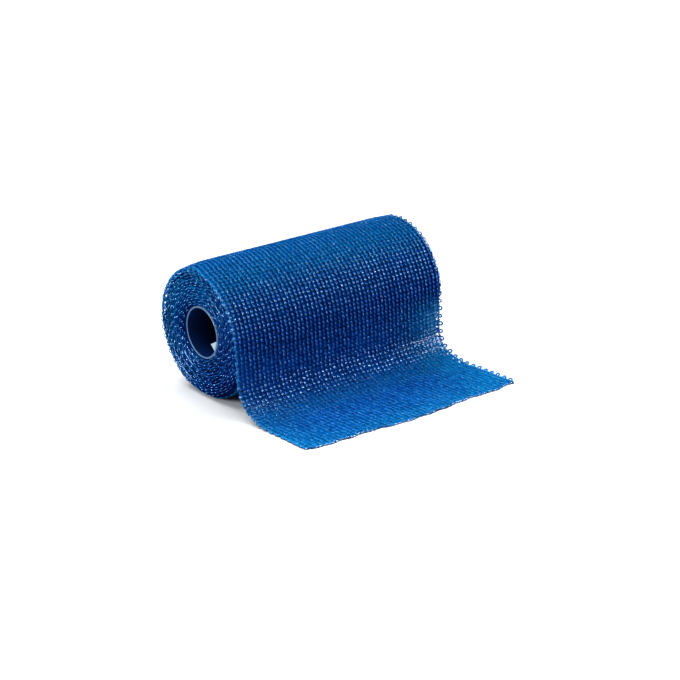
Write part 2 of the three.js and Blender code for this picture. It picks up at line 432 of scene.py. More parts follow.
def inlay_yarns(knit, rng, first, last):
    """The inlay yarns, each laid to and fro behind three neighbouring wales, course by course."""
    for k in range(-1, WALES - 1):
        left = max(k, 0)
        right = min(k + INLAY_SPAN, WALES - 1)
        stop = min(last, int(cut_along(np.array((k + 1) / WALES)) / COURSE_PITCH + 1))
        if stop <= first:
            continue
        course = np.arange(first, stop + 1)
        start = np.where(course % 2 == 0, left, right)
        end = np.where(course % 2 == 0, right, left)
        rows = []
        for step in INLAY_STEPS:
            across = start + (end - start) * step["part"] - np.sign(end - start) * step["past"]
            along = (course + step["part"]) * COURSE_PITCH
            height = np.full(len(course), step["height"])
            rows.append(np.stack([across * WALE_PITCH, along, height], axis=-1))
        path = np.stack(rows, axis=1).reshape(-1, 3)[: len(rows) * (len(course) - 1) + 1]
        path += rng.normal(0, INLAY_STRAY, path.shape)
        thick = INLAY * fuller(path[:, 1], INLAY_FULLER)
        knit.add(wobble(path), thick, flat=0.8, tint=rng.uniform(0, 1), lift=INLAY_LIFT)


# A selvedge loop: an arc past its neck, open towards the tape by what its sweep leaves, and its feet
PICOT = {"neck": 0.3, "size": 0.62, "longer": 1.12, "half_sweep": 128, "points": 9, "rise": 0.05, "tip": 0.1}
PICOT_FOOT = (0.0, -0.95, -0.1)
PICOT_EVERY = 2
# The selvedge loops count as higher, so they take more of the crests' painted highlight
PICOT_LIFT = 0.35
# How unlike each other the selvedge loops are
PICOT_REACHES = (0.82, 1.0)
PICOT_LENGTHS = (0.85, 1.1)
PICOT_TILT = 0.12
PICOT_STRAY = 0.03
# The near selvedge's loops are pressed in, and most of all those further back than PRESSED_TO
PRESSED = 0.72
PRESSED_WIDER = 0.45
PRESSED_LEAST = 0.75
PRESSED_TO = -25.0
PRESSED_OVER = 10.0
# The far selvedge's loops curl up as the tape leaves the roll
CURL = 0.35
CURLED_WIDER = 0.2
CURLED_FROM = -12.0
CURLED_OVER = 20.0


def picot_shape():
    """One selvedge loop, with its points as how far out, along and up they lie."""
    turn = np.radians(np.linspace(-PICOT["half_sweep"], PICOT["half_sweep"], PICOT["points"]))
    arc = np.stack([
        PICOT["neck"] + PICOT["size"] * (1 + np.cos(turn)),
        PICOT["size"] * PICOT["longer"] * np.sin(turn),
        PICOT["rise"] + PICOT["tip"] * np.cos(turn),
    ], axis=-1)
    foot = np.array([PICOT_FOOT])
    return np.concatenate([foot, arc, foot * [1, -1, 1]])


def picots(knit, rng, first, last):
    """The round loops of both selvedges, one every two courses: near ones pressed in, far ones curled up."""
    shape = picot_shape()
    near = {"edge": 0, "side": -1, "across": 0.0, "shift": 0.5}
    far = {"edge": (WALES - 1) * WALE_PITCH, "side": 1, "across": 1.0, "shift": 1.5}
    for selvedge in (near, far):
        side = selvedge["side"]
        course = np.arange(first + first % PICOT_EVERY, last, PICOT_EVERY)
        along = (course + selvedge["shift"]) * COURSE_PITCH
        along = along[along < cut_along(np.array(selvedge["across"])) - COURSE_PITCH]
        paths = np.repeat(shape[None], len(along), axis=0)
        further_back = np.clip((PRESSED_TO - along) / PRESSED_OVER, 0, 1)
        pressed = (PRESSED_LEAST + (1 - PRESSED_LEAST) * further_back) * (side < 0)
        curled = np.clip((along - CURLED_FROM) / CURLED_OVER, 0, 1) * (side > 0)
        paths[..., 0] *= 1 - PRESSED * pressed[:, None]
        paths[..., 2] += CURL * curled[:, None] * paths[..., 0]
        paths[..., 0] *= rng.uniform(*PICOT_REACHES, (len(along), 1)) * side
        paths[..., 1] *= rng.uniform(*PICOT_LENGTHS, (len(along), 1))
        paths[..., 2] += rng.normal(0, PICOT_TILT, (len(along), 1)) * np.abs(paths[..., 0])
        paths[..., 0] += selvedge["edge"]
        paths[..., 1] += along[:, None]
        paths += rng.normal(0, PICOT_STRAY, paths.shape)
        tint = rng.uniform(0, 1, len(along))
        thick = PICOT_YARN * (1 + PRESSED_WIDER * pressed[:, None] + CURLED_WIDER * curled[:, None])
        knit.add(wobble(paths), thick, sides=6, tint=tint, lift=PICOT_LIFT)


# How pale the tape is painted along its length, as painted light and shade (paler over the top and on the
# loose end, darker in the shade at the front), and how glossy it is there
LIGHT_AND_GLOSS_ALONG = [
    {"along": -170.0, "pale": 0.0, "shine": 0.4},
    {"along": -120.0, "pale": 0.25, "shine": 0.6},
    {"along": -56.0, "pale": 0.04, "shine": 0.6},
    {"along": -42.0, "pale": 0.5, "shine": 0.9},
    {"along": -30.0, "pale": 0.7, "shine": 1.0},
    {"along": -14.0, "pale": 0.12, "shine": 0.9},
    {"along": -4.0, "pale": 0.0, "shine": 0.36},
    {"along": 10.0, "pale": 0.0, "shine": 0.3},
    {"along": 18.0, "pale": 0.06, "shine": 0.9},
    {"along": 30.0, "pale": 0.3, "shine": 0.8},
    {"along": 38.0, "pale": 0.16, "shine": 0.3},
    {"along": 50.0, "pale": 0.32, "shine": 0.25},
    {"along": 62.0, "pale": 0.9, "shine": 0.5},
]
# Both selvedges of the loose end are painted paler, as light where the roll shades them less, between these
# places along it
PAINTED_EDGE_LIGHT = 0.4
PAINTED_EDGE_LIGHT_REACH = 12.0
PAINTED_EDGE_LIGHT_FROM = 12.0
PAINTED_EDGE_LIGHT_TO = 40.0
# The single layer by the far selvedge, painted paler where light comes through, and given the crests'
# painted highlight where it stands upright
FAR_EDGE_PAINTED_LIGHT = 0.78
FAR_EDGE_REACH = 16.0
FAR_EDGE_FROM = -3.0
FAR_EDGE_BY = 7.0
UPRIGHT_TO = 30.0
UPRIGHT_OVER = 12.0
# The near selvedge itself, painted paler all along
NEAR_EDGE_PALE = 0.4
NEAR_EDGE_REACH = 2.2
# How near the cut every yarn has the colour and shine of a crest: a painted highlight along the cut
CUT_HIGHLIGHT_BAND = 1.1


def drawn_share(across, along):
    """How far each point belongs to the single layer by the loose end's far edge, 0 to 1."""
    to_far_edge = (1 - across) * LOOSE_WIDTH
    begun = np.clip((along - FAR_EDGE_FROM) / (FAR_EDGE_BY - FAR_EDGE_FROM), 0, 1)
    return np.exp(-(to_far_edge / FAR_EDGE_REACH) ** 2) * begun


def painted_paleness(across, along):
    """How pale the tape is painted at each point, as painted light: by its place along, and more so by the
    loose end's selvedges.
    """
    to_edge = np.minimum(across, 1 - across) * LOOSE_WIDTH
    drawn_out = np.clip((along - PAINTED_EDGE_LIGHT_FROM) / (PAINTED_EDGE_LIGHT_TO - PAINTED_EDGE_LIGHT_FROM), 0, 1)
    by_edge = PAINTED_EDGE_LIGHT * np.exp(-(to_edge / PAINTED_EDGE_LIGHT_REACH) ** 2) * drawn_out
    by_near_edge = NEAR_EDGE_PALE * np.exp(-(across * LOOSE_WIDTH / NEAR_EDGE_REACH) ** 2)
    by_far_edge = FAR_EDGE_PAINTED_LIGHT * drawn_share(across, along)
    by_length = read_table(LIGHT_AND_GLOSS_ALONG, "along", "pale", along)
    return np.clip(by_length + by_near_edge + np.maximum(by_edge, by_far_edge), 0, 1)


def knit_piece(name, makers, first, last, material, seed):
    """A piece of the tape's knit from course first to course last, of what the makers add."""
    knit = Knit()
    rng = np.random.default_rng(seed)
    for maker in makers:
        maker(knit, rng, first, last)
    points, quads, caps, uv, tint = knit.arrays()
    across = across_of(points)
    along = points[:, 1]
    cut_highlight = np.clip(1 - (cut_along(across) - along) / CUT_HIGHLIGHT_BAND, 0, 1)
    upright = np.clip((UPRIGHT_TO - along) / UPRIGHT_OVER, 0, 1)
    # Painted highlights: by the cut, and in the upright single layer by the far selvedge, yarns take a
    # crest's pale colour whatever their height
    crest = np.maximum(np.maximum(knit.crests(), cut_highlight), drawn_share(across, along) * upright)
    shine = np.maximum(read_table(LIGHT_AND_GLOSS_ALONG, "along", "shine", along), cut_highlight)
    marks = {"tint": tint, "crest": crest, "pale": painted_paleness(across, along), "shine": shine}
    piece = make_mesh(name, place_tape(points), quads, caps, uv, marks, material)
    return piece


def node(tree, kind, **settings):
    """A new node with its properties or inputs set by name."""
    made = tree.nodes.new(kind)
    for key, value in settings.items():
        if key in made.bl_rna.properties:
            setattr(made, key, value)
        else:
            made.inputs[key.replace("_", " ")].default_value = value
    return made


def new_material(name):
    """An empty node material, its tree and its output node."""
    material = bpy.data.materials.new(name)
    material.use_nodes = True
    material.node_tree.nodes.clear()
    out = material.node_tree.nodes.new("ShaderNodeOutputMaterial")
    return material, material.node_tree, out


def maths(tree, operation, *values, **settings):
    """The result of a Math node whose inputs are numbers or other nodes' outputs."""
    made = node(tree, "ShaderNodeMath", operation=operation, **settings)
    for place, value in zip(made.inputs, values):
        if isinstance(value, bpy.types.NodeSocket):
            tree.links.new(value, place)
        else:
            place.default_value = value
    return made.outputs[0]


def scaled(tree, value, low, high, to_low=0.0, to_high=1.0):
    """A value that goes from to_low to to_high as another goes from low to high."""
    made = node(tree, "ShaderNodeMapRange")
    tree.links.new(value, made.inputs["Value"])
    made.inputs["From Min"].default_value = low
    made.inputs["From Max"].default_value = high
    made.inputs["To Min"].default_value = to_low
    made.inputs["To Max"].default_value = to_high
    return made.outputs["Result"]


def mark(tree, name):
    """What a mesh has marked at each point."""
    return node(tree, "ShaderNodeAttribute", attribute_name=name).outputs["Fac"]


def noise(tree, place, scale, detail):
    """Noise at a place."""
    made = node(tree, "ShaderNodeTexNoise", Scale=scale, Detail=detail)
    tree.links.new(place, made.inputs["Vector"])
    return made.outputs["Fac"]


def bump(tree, height, strength, distance):
    """The normal that a height gives."""
    made = node(tree, "ShaderNodeBump", Strength=strength, Distance=distance)
    tree.links.new(height, made.inputs["Height"])
    return made.outputs["Normal"]


def place_parts(tree, kind):
    """X, Y and Z of the place that each point has, of the kind that is named."""
    place = node(tree, "ShaderNodeTexCoord")
    parts = node(tree, "ShaderNodeSeparateXYZ")
    tree.links.new(place.outputs[kind], parts.inputs[0])
    return parts.outputs


def surface(tree, colour, normal=None, **settings):
    """A Principled surface of a colour."""
    shader = node(tree, "ShaderNodeBsdfPrincipled", **settings)
    tree.links.new(colour, shader.inputs["Base Color"])
    if normal:
        tree.links.new(normal, shader.inputs["Normal"])
    return shader.outputs[0]


def colour_pair(tree, share, pair, start=0.0):
    """A colour that goes from the first of a pair to the second as the share goes from start to 1."""
    ramp = node(tree, "ShaderNodeValToRGB")
    first, second = ramp.color_ramp.elements
    first.position = start
    first.color = (*pair[0], 1)
    second.color = (*pair[1], 1)
    tree.links.new(share, ramp.inputs["Fac"])
    return ramp.outputs["Color"]


def blend_colours(tree, share, first, second):
    """A colour that goes from the first to the second as the share goes from 0 to 1."""
    mix = node(tree, "ShaderNodeMix", data_type="RGBA")
    tree.links.new(share, mix.inputs["Factor"])
    tree.links.new(first, mix.inputs["A"])
    tree.links.new(second, mix.inputs["B"])
    return mix.outputs["Result"]


def blend_shaders(tree, share, first, second):
    """A surface that goes from the first to the second as the share goes from 0 to 1."""
    mix = node(tree, "ShaderNodeMixShader")
    tree.links.new(share, mix.inputs[0])
    tree.links.new(first, mix.inputs[1])
    tree.links.new(second, mix.inputs[2])
    return mix.outputs[0]


# The yarn's colours, from where the tape is painted least pale to where it is palest: hollows painted dark
# as shade, crests painted pale as highlights
YARN_COLOURS_WITH_PAINTED_SHADE = {
    "hollow": ((0.0, 0.006, 0.055), (0.0, 0.035, 0.13)),
    "slope": ((0.001, 0.03, 0.19), (0.002, 0.11, 0.3)),
    "crest": ((0.004, 0.075, 0.34), (0.006, 0.225, 0.5)),
    "glow": ((0.0, 0.1, 0.5), (0.0, 0.42, 0.9)),
}
# The levels at which a yarn's colour is that of a slope and that of a crest
SLOPE_LEVEL = 0.45
CREST_LEVEL = 0.9
# What raises or lowers that level: slow clouds, each yarn's own tint, and fine flecks
CLOUD_SCALE = 90.0
CLOUD_SHARE = 0.35
LEAST_LEVEL = 0.4
TINT_SHARE = 0.6
FLECK_SCALE = 2300.0
FLECK = 1.6
# The fine strands along each yarn, as rates along and round it
STRANDS = (0.6, 14.0, 1.0)
FINE_BUMP = (0.15, 0.0001)
# The resin's gloss on the crests, and how unlike it is from yarn to yarn
SHINE_COLOUR = (0.36, 0.6, 1.0)
SHINE_ROUGHNESS = 0.24
SHINE_SHARE = 0.72
SHINE_FROM = 0.55
SHINE_BY_YARN = (0.35, 1.5)
# How much light comes through where the tape is painted least pale and where it is painted palest
GLOW_SHARE = (0.08, 0.36)


def yarn_colour_with_painted_shade(tree, place, tint, crest, colours):
    """The yarn's colour: hollow, slope or crest, by how far it stands out and by its unevenness, with
    painted shade in the hollows and painted highlights on the crests.
    """
    clouds = maths(tree, "MULTIPLY_ADD", noise(tree, place, CLOUD_SCALE, 2.0), CLOUD_SHARE, LEAST_LEVEL)
    uneven = maths(tree, "MULTIPLY_ADD", tint, TINT_SHARE, clouds)
    flecks = maths(tree, "MULTIPLY_ADD", noise(tree, place, FLECK_SCALE, 1.0), FLECK, 1 - FLECK / 2)
    level = maths(tree, "MULTIPLY", crest, maths(tree, "MULTIPLY", uneven, flecks))
    to_slope = scaled(tree, level, 0.0, SLOPE_LEVEL)
    low = blend_colours(tree, to_slope, colours["hollow"], colours["slope"])
    return blend_colours(tree, scaled(tree, level, SLOPE_LEVEL, CREST_LEVEL), low, colours["crest"])


def yarn_material():
    """Resin-soaked glass yarn: deep blue, painted darker in its hollows as shade and paler on its crests as
    highlights, painted paler where light falls on the tape, glossy, and letting some light through.
    """
    material, tree, out = new_material("casting_tape_yarn")
    link = tree.links.new
    tint, crest, pale, resin = [mark(tree, name) for name in ("tint", "crest", "pale", "shine")]
    colours = {key: colour_pair(tree, pale, pair) for key, pair in YARN_COLOURS_WITH_PAINTED_SHADE.items()}
    place = node(tree, "ShaderNodeTexCoord")
    stretch = node(tree, "ShaderNodeMapping", Scale=STRANDS)
    link(place.outputs["UV"], stretch.inputs["Vector"])
    strands = bump(tree, noise(tree, stretch.outputs["Vector"], 1.0, 2.0), *FINE_BUMP)
    colour = yarn_colour_with_painted_shade(tree, place.outputs["Object"], tint, crest, colours)
    dry = surface(tree, colour, strands, Roughness=0.45, IOR=1.5, Specular_IOR_Level=0.0)
    shine = node(tree, "ShaderNodeBsdfGlossy", Color=(*SHINE_COLOUR, 1), Roughness=SHINE_ROUGHNESS)
    link(strands, shine.inputs["Normal"])
    coated = maths(tree, "MULTIPLY", scaled(tree, crest, SHINE_FROM, 1.0, 0.0, SHINE_SHARE), resin)
    by_yarn = scaled(tree, tint, 0.0, 1.0, *SHINE_BY_YARN)
    wet = maths(tree, "MULTIPLY", coated, by_yarn, use_clamp=True)
    glossy = blend_shaders(tree, wet, dry, shine.outputs[0])
    through = node(tree, "ShaderNodeBsdfTranslucent")
    link(colours["glow"], through.inputs["Color"])
    glow = scaled(tree, pale, 0.0, 1.0, *GLOW_SHARE)
    link(blend_shaders(tree, glow, glossy, through.outputs[0]), out.inputs["Surface"])
    return material


# Painted shade: the turns under the last one are painted far darker than the yarns, as the shade between the
# layers
BODY_SHADE_COLOURS = ((0.0, 0.005, 0.05), (0.0, 0.025, 0.14))
BODY_DARK_TO = 0.2
BODY_BUMP = (0.8, 0.0004)


def body_material():
    """The turns seen between the yarns of the last one: painted dark blue as shade, darker still between the
    same knit's rows.
    """
    material, tree, out = new_material("wound_turns")
    parts = place_parts(tree, "UV")
    waves = []
    for axis in ("X", "Y"):
        waves.append(maths(tree, "COSINE", maths(tree, "MULTIPLY", parts[axis], 2 * math.pi)))
    both = maths(tree, "ADD", *waves)
    colour = colour_pair(tree, both, BODY_SHADE_COLOURS, start=BODY_DARK_TO)
    rows = bump(tree, both, *BODY_BUMP)
    dull = surface(tree, colour, rows, Roughness=0.4, IOR=1.5, Specular_IOR_Level=0.0)
    tree.links.new(dull, out.inputs["Surface"])
    return material


# Painted shade: the bore is painted dark blue by its rims and near black further in
BORE_SHADE_COLOURS = ((0.0, 0.0005, 0.006), (0.001, 0.009, 0.05))
BORE_SHADE_FADE = 13.0


def bore_shade_material():
    """The inside of the core: painted shade, dark blue by its rims, and near black further in."""
    material, tree, out = new_material("bore_painted_shade")
    middle = (CORE_NEAR + CORE_FAR) / 2
    rim = CORE_FAR - middle
    along = place_parts(tree, "Object")["X"]
    off_middle = maths(tree, "ABSOLUTE", maths(tree, "SUBTRACT", along, middle * MM))
    by_rim = scaled(tree, off_middle, (rim - BORE_SHADE_FADE) * MM, rim * MM)
    colour = colour_pair(tree, by_rim, BORE_SHADE_COLOURS)
    tree.links.new(surface(tree, colour, Roughness=0.6, Specular_IOR_Level=0.02), out.inputs["Surface"])
    return material


CORE_COLOURS = ((0.04, 0.1, 0.2), (0.07, 0.14, 0.25))
# The tongue is painted paler than the core plastic it belongs to, as painted light on it
TONGUE_LIT_COLOURS = ((0.2, 0.29, 0.36), (0.26, 0.35, 0.41))
PLASTIC_ROUGHNESS = 0.42


def plastic_material(name, colours):
    """Smooth plastic, slightly uneven."""
    material, tree, out = new_material(name)
    place = node(tree, "ShaderNodeTexCoord")
    cloud = noise(tree, place.outputs["Object"], CLOUD_SCALE, 3.0)
    uneven = bump(tree, cloud, *FINE_BUMP)
    smooth = surface(tree, colour_pair(tree, cloud, colours), uneven, Roughness=PLASTIC_ROUGHNESS)
    tree.links.new(smooth, out.inputs["Surface"])
    return material


def ring_walls(stations, size):
    """Quads between closed sections of size points, from station to station and on to the first."""
    k = np.arange(size)
    after = (k + 1) % size
    here = (np.arange(stations) * size)[:, None]
    there = np.roll(here, -1, axis=0)
    return np.stack([here + k, here + after, there + after, there + k], axis=-1).reshape(-1, 4)


# The body of the wound turns under the last one, and how far its ends lie inside theirs
BODY_STATIONS = 240
BODY_RINGS = 8
BODY_SHORT = 0.8
BODY_NEAR_BY_BORE = -48.0
BODY_FAR_SHORT = 1.0
# The far end of the winding flares outwards from this share of its depth on
FAR_FLARE = 1.3
FAR_FLARE_FROM = 0.6
# The near end follows the last turns' drift from this share of its depth on
NEAR_DRIFT_FROM = 0.75


def past(share, start):
    """How far a share is past its start, from 0 there to 1 at the end."""
    return np.clip((share - start) / (1 - start), 0, 1)


def turns_body(material):
    """The wound turns under the last one, from the core to just under the yarns, with both ends."""
    turn = np.arange(BODY_STATIONS) / BODY_STATIONS
    angle = math.pi * (2 * turn - 1)
    outer = wrap_radius(turn) - TAPE_THICKNESS
    near = read_table(LAST_TURN, "turn", "under", turn) + BODY_SHORT
    rows = []
    for part in np.linspace(0, 1, BODY_RINGS):
        x = CORE_FAR - BODY_FAR_SHORT + FAR_FLARE * past(part, FAR_FLARE_FROM)
        rows.append((np.full(BODY_STATIONS, x), BORE_RADIUS + (outer - BORE_RADIUS) * part))
    for part in np.linspace(0, 1, BODY_RINGS):
        x = near + (BODY_NEAR_BY_BORE - near) * (1 - part)
        rows.append((x, outer + (BORE_RADIUS - outer) * part))
    x = np.stack([row[0] for row in rows], axis=1)
    radius = np.stack([row[1] for row in rows], axis=1)
    y = radius * np.cos(angle)[:, None]
    z = np.maximum(AXIS_Z + radius * np.sin(angle)[:, None], TAPE_THICKNESS)
    points = np.stack([x, y, z], axis=-1).reshape(-1, 3)
    courses = (turn * TURN_LENGTH / COURSE_PITCH)[:, None]
    uv = np.stack(np.broadcast_arrays(x / WALE_PITCH, courses), axis=-1).reshape(-1, 2)
    piece = make_mesh("wound_turns", points, ring_walls(BODY_STATIONS, len(rows)), NO_CAPS, uv, {}, material)
    return piece


# The edges of the wound turns: how far apart, how near the last turn, how far in, in what steps
TURN_PITCH = 0.52
END_SPARE = 0.7
END_INSET = 0.75
END_STEP = 0.9
END_YARN = 0.27
END_STRAY = {"out": 0.07, "radius": 0.04}
END_LOWEST = 0.4
# One loop of a turn's edge, with its points as how far along it and how far out they lie
END_LOOP = [
    {"along": -1.15, "out": -0.3},
    {"along": -1.05, "out": 0.25},
    {"along": -0.75, "out": 0.8},
    {"along": 0.0, "out": 1.05},
    {"along": 0.75, "out": 0.8},
    {"along": 1.05, "out": 0.25},
    {"along": 1.15, "out": -0.3},
]
END_LOOP_HALF = 0.85
END_LOOP_YARN = 0.17
END_LOOP_REACHES = (0.75, 1.1)
END_LOOP_LEAN = 0.08
END_LOOP_SHIFT = 0.04
END_LOOP_STRAY = 0.03
# How far the edges stand out and in by turns, drift and wave
END_RELIEF = 0.4
END_DRIFT = {"size": 0.12, "rate": 2.1}
END_WAVE = {"size": 0.15, "waves": 2}
END_RIPPLE = 0.14
RIPPLES = [
    {"waves": 11, "shift": 0.45, "size": 1.0},
    {"waves": 23, "shift": -0.8, "size": 0.6},
]
# The looks of the ends: painted light and shade, paler by height and towards the back and darker low and at
# the front; how shiny; and what counts as a crest, which gets the painted highlight
END_PAINTED_LIGHT = {"up": 0.62, "back": 0.5}
END_SHINE = 0.75
END_DULLER = 0.55
END_CREST = {"level": 0.58, "depth": 0.75, "radius": ROLL_RADIUS * 0.6}


def relief_at(k, turn):
    """How far a turn's edge stands out of the face: by pairs one out, one in."""
    drift = END_DRIFT["size"] * math.sin(k * END_DRIFT["rate"])
    wave = END_WAVE["size"] * np.sin(turn * 2 * math.pi * END_WAVE["waves"] + k)
    return END_RELIEF * (-1) ** k + drift + wave


def ripple(k, turn):
    """The gentle waves in a turn's edge."""
    waves = [w["size"] * np.sin(turn * 2 * math.pi * w["waves"] + k * w["shift"]) for w in RIPPLES]
    return END_RIPPLE * sum(waves)


def coil(knit, path, radius, tint):
    """Adds tubes whose paths are given as x, radius from the axis, and turn."""
    angle = math.pi * (2 * path[..., 2] - 1)
    y = path[..., 1] * np.cos(angle)
    z = np.maximum(AXIS_Z + path[..., 1] * np.sin(angle), END_LOWEST)
    knit.add(np.stack([path[..., 0], y, z], axis=-1), radius, tint=tint)


def depth_share(radius):
    """How far out in the winding a radius lies, from 0 by the core to 1 under the last turn."""
    return (radius - BORE_RADIUS) / (ROLL_RADIUS - TAPE_THICKNESS - BORE_RADIUS)


def near_face(turn, radius):
    """Where the winding's near end lies."""
    under = read_table(LAST_TURN, "turn", "under", np.mod(turn, 1))
    return CORE_NEAR + (under - CORE_NEAR) * past(depth_share(radius), NEAR_DRIFT_FROM)


def far_face(turn, radius):
    """Where the winding's far end lies, which is the same all round."""
    return CORE_FAR + FAR_FLARE * past(depth_share(radius), FAR_FLARE_FROM)


def turn_edge(knit, rng, k, face_x, out):
    """The edge of one wound turn, as a yarn that goes on from turn to turn."""
    radius = BORE_RADIUS + TURN_PITCH * (k + 0.5)
    steps = int(2 * math.pi * radius / END_STEP)
    turn = np.arange(steps + 1) / steps
    r = radius + TURN_PITCH * turn
    x = face_x(turn, r) - out * (END_INSET - relief_at(k, turn))
    path = np.stack([x, r + ripple(k, turn), turn], axis=-1)
    path[:, 0] += rng.normal(0, END_STRAY["out"], len(path))
    path[:, 1] += rng.normal(0, END_STRAY["radius"], len(path))
    coil(knit, path, END_YARN, rng.uniform(0, 1))


def turn_loops(knit, rng, k, face_x, out):
    """The selvedge loops of one wound turn, one every two courses."""
    radius = BORE_RADIUS + TURN_PITCH * (k + 0.5)
    around = 2 * math.pi * radius
    count = int(around / (PICOT_EVERY * COURSE_PITCH))
    along = np.array([point["along"] for point in END_LOOP])
    outwards = np.array([point["out"] for point in END_LOOP])
    middle = (np.arange(count) + rng.uniform(0, 1)) / count
    middle = middle + rng.normal(0, END_LOOP_SHIFT / count, count)
    tall = rng.uniform(*END_LOOP_REACHES, count)
    leaning = rng.normal(0, END_LOOP_LEAN, count)
    turn = middle[:, None] + along * END_LOOP_HALF / around
    r = radius + TURN_PITCH * turn + leaning[:, None] * outwards + ripple(k, turn)
    x = face_x(turn, r) + out * (outwards * tall[:, None] + relief_at(k, turn) - END_INSET)
    loops = np.stack([x, r, turn], axis=-1)
    loops += rng.normal(0, END_LOOP_STRAY, loops.shape) * [1, 1, 0]
    coil(knit, loops, END_LOOP_YARN, rng.uniform(0, 1, count))


def end_turns(name, material, face_x, out, seed):
    """The edges of the wound turns at one end: a coiled selvedge and its loops, turn upon turn."""
    rng = np.random.default_rng(seed)
    knit = Knit()
    turns = int((ROLL_RADIUS - TAPE_THICKNESS - END_SPARE - BORE_RADIUS) / TURN_PITCH)
    for k in range(turns):
        turn_edge(knit, rng, k, face_x, out)
        turn_loops(knit, rng, k, face_x, out)
    points, quads, caps, uv, tint = knit.arrays()
    # Painted light and shade: loops that stand out take the crests' paler colour, and the ends are painted
    # paler higher up and towards the back
    stands_out = (points[:, 0] - face_x(0, END_CREST["radius"])) * out
    crest = np.clip(stands_out / END_CREST["depth"] + END_CREST["level"], 0, 1)
    pale = END_PAINTED_LIGHT["up"] * points[:, 2] / roll_high[2] + END_PAINTED_LIGHT["back"] * points[:, 1] / ROLL_RADIUS
    shine = END_SHINE * (1 - END_DULLER * np.clip(-points[:, 1] / ROLL_RADIUS, 0, 1))
    marks = {"tint": tint, "crest": crest, "pale": np.clip(pale, 0, 1), "shine": shine}
    piece = make_mesh(name, points, quads, caps, uv, marks, material)
    return piece


CORE_WALL = 0.8
CORE_SIDES = 128
# The length that fills the core's UV map
CORE_UV_STEP = 10
# The core's eased rims: how far in the easing starts, and its middle point as shares of that
RIM_EASE = 0.26
RIM_MIDDLE = {"along": 0.4, "in": 0.3}
# The faces of the tube's section that line its bore
BORE_WALL = [8, 9, 10]


def core_section():
    """The core's section as (x, radius), round from the near rim along the outside and back by the bore."""
    inner = CORE_RADIUS - CORE_WALL
    along = RIM_EASE * RIM_MIDDLE["along"]
    inwards = RIM_EASE * RIM_MIDDLE["in"]
    return np.array([
        [CORE_NEAR, inner + RIM_EASE],
        [CORE_NEAR, CORE_RADIUS - RIM_EASE],
        [CORE_NEAR + along, CORE_RADIUS - inwards],
        [CORE_NEAR + RIM_EASE, CORE_RADIUS],
        [CORE_FAR - RIM_EASE, CORE_RADIUS],
        [CORE_FAR - along, CORE_RADIUS - inwards],
        [CORE_FAR, CORE_RADIUS - RIM_EASE],
        [CORE_FAR, inner + RIM_EASE],
        [CORE_FAR - along, inner + inwards],
        [CORE_FAR - RIM_EASE, inner],
        [CORE_NEAR + RIM_EASE, inner],
        [CORE_NEAR + along, inner + inwards],
    ])


def core_piece(material, inside):
    """The core tube with eased rims, its bore in a painted-shade material of its own."""
    section = core_section()
    size = len(section)
    angle = np.arange(CORE_SIDES) * 2 * math.pi / CORE_SIDES
    x = np.broadcast_to(section[:, 0], (CORE_SIDES, size))
    y = section[:, 1] * np.cos(angle)[:, None]
    z = AXIS_Z + section[:, 1] * np.sin(angle)[:, None]
    points = np.stack([x, y, z], axis=-1).reshape(-1, 3)
    outward = ring_walls(CORE_SIDES, size)[:, [0, 3, 2, 1]]
    piece = make_mesh("core_tube", points, outward, NO_CAPS, points[:, :2] / CORE_UV_STEP, {}, material)
    piece.data.materials.append(inside)
    in_bore = np.tile(np.isin(np.arange(size), BORE_WALL), CORE_SIDES)
    piece.data.polygons.foreach_set("material_index", in_bore.astype(np.int32))
    return piece


# The tongue's corners round the core's axis, and its layers, which are smaller at both faces
TONGUE = [
    {"radius": 9.7, "angle": 184},
    {"radius": 6.4, "angle": 207},
    {"radius": 9.7, "angle": 212},
]
TONGUE_LAYERS = [
    {"depth": 0.02, "share": 0.9},
    {"depth": 0.12, "share": 1.0},
    {"depth": 0.85, "share": 1.0},
    {"depth": 1.0, "share": 0.9},
]


def tongue_piece(material):
    """A thin three-cornered tongue of the core wall, in the plane of its near rim."""
    corners = []
    for row in TONGUE:
        angle = math.radians(row["angle"])
        corners.append((row["radius"] * math.cos(angle), row["radius"] * math.sin(angle)))
    corners = np.array(corners)
    middle = corners.mean(0)
    size = len(TONGUE)
    points = []
    for layer in TONGUE_LAYERS:
        for y, z in middle + (corners - middle) * layer["share"]:
            points.append(Vector((CORE_NEAR + layer["depth"], y, AXIS_Z + z)) * MM)
    last = len(points) - 1
    faces = [tuple(range(size)), tuple(last - k for k in range(size))]
    for level in range(len(TONGUE_LAYERS) - 1):
        for k in range(size):
            here = level * size + k
            after = level * size + (k + 1) % size
            faces.append((here, here + size, after + size, after))
    mesh = bpy.data.meshes.new("core_tongue")
    mesh.from_pydata(points, [], faces)
    mesh.materials.append(material)
    piece = link_piece("core_tongue", mesh)
    return piece


# What starts each piece's random numbers
SEEDS = {"last_turn": 11, "loose_chains": 21, "loose_inlays": 22, "near_end": 31, "far_end": 32}


def last_turn(yarn):
    """The last turn on the roll, as three pieces one after the other."""
    third = COURSES_ON_ROLL // 3
    bounds = (-COURSES_ON_ROLL, third - COURSES_ON_ROLL, -third, 0)
    makers = (chain_loops, inlay_yarns, picots)
    pieces = []
    for k in range(3):
        seed = SEEDS["last_turn"] + k
        pieces.append(knit_piece(f"last_turn_{k}", makers, bounds[k], bounds[k + 1], yarn, seed))
    return pieces


